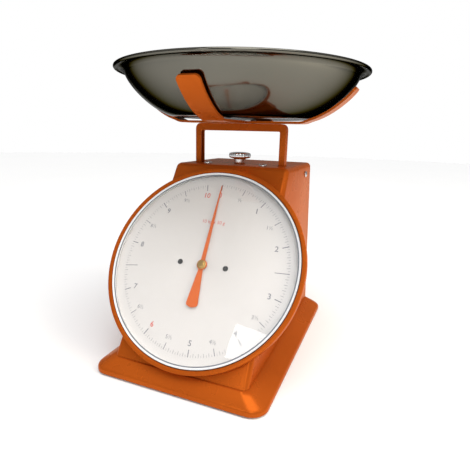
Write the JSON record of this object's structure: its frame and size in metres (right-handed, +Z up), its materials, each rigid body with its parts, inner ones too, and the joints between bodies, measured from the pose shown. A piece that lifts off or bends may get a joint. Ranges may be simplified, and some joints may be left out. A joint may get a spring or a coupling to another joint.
{
  "type": "dial spring scale with bowl",
  "caption": "Counter spring scale: orange housing on a broad base, leaning round dial with a pointer, sprung load bracket, armed carrier and a lift-off stainless bowl.",
  "frame": {"origin": "middle of the bounding box, on the surface that the feet stand on", "axes": "+Z up, -Y towards the reader of the dial, +X to the reader's right"},
  "size_m": [0.27, 0.295, 0.2979],
  "materials": {
    "orange_paint": "glossy orange enamel on pressed steel",
    "stainless": "spun stainless steel, polished",
    "chrome": "bright chrome plating",
    "zinc": "zinc-plated steel",
    "spring_steel": "oiled spring wire",
    "brass": "machined brass",
    "dial_print": "satin off-white enamel with printed graduations and numbers",
    "pointer_red": "orange-red lacquer",
    "clear_lens": "clear flat lens",
    "lens_ring": "glossy off-white ring",
    "dark_steel": "blackened steel",
    "rubber": "matt black rubber"
  },
  "bodies": {
    "stand": {"base_plate": "orange_paint", "bottom_plate": "zinc", "foot_front_left": "rubber", "foot_front_right": "rubber", "foot_rear_left": "rubber", "foot_rear_right": "rubber", "housing": "orange_paint", "back_cover": "orange_paint", "cover_screw_left_top": "orange_paint", "cover_screw_left_bottom": "orange_paint", "cover_screw_right_top": "orange_paint", "cover_screw_right_bottom": "orange_paint", "mechanism_frame": "zinc", "top_screw_left": "orange_paint", "top_screw_right": "orange_paint", "frame_screw_left": "zinc", "frame_screw_right": "zinc", "upper_lever_shaft": "zinc", "lower_lever_shaft": "zinc", "dial_pan": "orange_paint", "dial_face": "dial_print", "dial_lens": "clear_lens", "lens_ring": "lens_ring", "dial_screw_left": "dark_steel", "dial_screw_right": "dark_steel", "dial_spacer_left": "brass", "dial_spacer_right": "brass", "bearing_bridge": "zinc", "front_bush": "brass", "rear_bush": "brass", "rack_guide": "brass"},
    "load": {"load_bracket": "orange_paint", "upper_crossbar": "zinc", "lower_crossbar": "zinc", "upper_bar_screw_left": "zinc", "upper_bar_screw_right": "zinc", "lower_bar_screw_left": "zinc", "lower_bar_screw_right": "zinc", "rack_arm": "zinc", "upper_link_pin_left": "zinc", "upper_link_pin_right": "zinc", "lower_link_pin_left": "zinc", "lower_link_pin_right": "zinc", "spring_left": "spring_steel", "spring_right": "spring_steel", "bowl_carrier": "orange_paint", "carrier_screw_left": "zinc", "carrier_screw_right": "zinc"},
    "bowl": {"bowl": "stainless"},
    "pointer": {"pointer": "pointer_red", "pointer_nut": "brass", "pointer_shaft": "zinc", "pinion": "brass"},
    "rack": {"rack": "brass", "rack_pin": "zinc"},
    "upper_lever": {"upper_guide_lever": "zinc"},
    "lower_lever": {"lower_guide_lever": "zinc"},
    "zero_adjuster": {"zero_knob": "chrome", "zero_screw": "zinc"},
    "spring_hanger": {"spring_hanger": "zinc"}
  },
  "joints": [
    {"name": "load_slide", "type": "slide", "parent": "stand", "child": "load", "axis": [0, 0, 1], "range_m": [-0.0154, 0], "stiffness_N_per_m": 6370, "springref_m": 0.0026, "deforming": ["spring_left", "spring_right"]},
    {"name": "bowl_lift", "type": "slide", "parent": "load", "child": "bowl", "axis": [0, 0, 1], "range_m": [0, 0.12]},
    {"name": "pointer_spin", "type": "hinge", "parent": "stand", "child": "pointer", "pos_m": [0, -0.0865, 0.109], "axis": [0, -0.8434, 0.5373], "range_deg": [-350, 0]},
    {"name": "rack_slide", "type": "slide", "parent": "stand", "child": "rack", "axis": [0, 0.5373, 0.8434], "range_m": [-0.0184, 0]},
    {"name": "upper_lever_tilt", "type": "hinge", "parent": "stand", "child": "upper_lever", "pos_m": [0, 0.0625, 0.15225], "axis": [1, 0, 0], "range_deg": [0, 17.7]},
    {"name": "lower_lever_tilt", "type": "hinge", "parent": "stand", "child": "lower_lever", "pos_m": [0, 0.0625, 0.10225], "axis": [1, 0, 0], "range_deg": [0, 17.7]},
    {"name": "zero_turn", "type": "hinge", "parent": "stand", "child": "zero_adjuster", "pos_m": [0, 0.0125, 0.2], "axis": [0, 0, 1], "range_deg": [-361, 361]},
    {"name": "hanger_slide", "type": "slide", "parent": "stand", "child": "spring_hanger", "axis": [0, 0, 1], "range_m": [-0.001, 0.001]}
  ],
  "couplings": [
    {"joint": "pointer_spin", "follows": "load_slide", "rad_per_m": 395.23},
    {"joint": "rack_slide", "follows": "load_slide", "ratio": 1.1857},
    {"joint": "upper_lever_tilt", "follows": "load_slide", "rad_per_m": -20},
    {"joint": "lower_lever_tilt", "follows": "load_slide", "rad_per_m": -20},
    {"joint": "zero_turn", "follows": "hanger_slide", "rad_per_m": 6283.2}
  ]
}
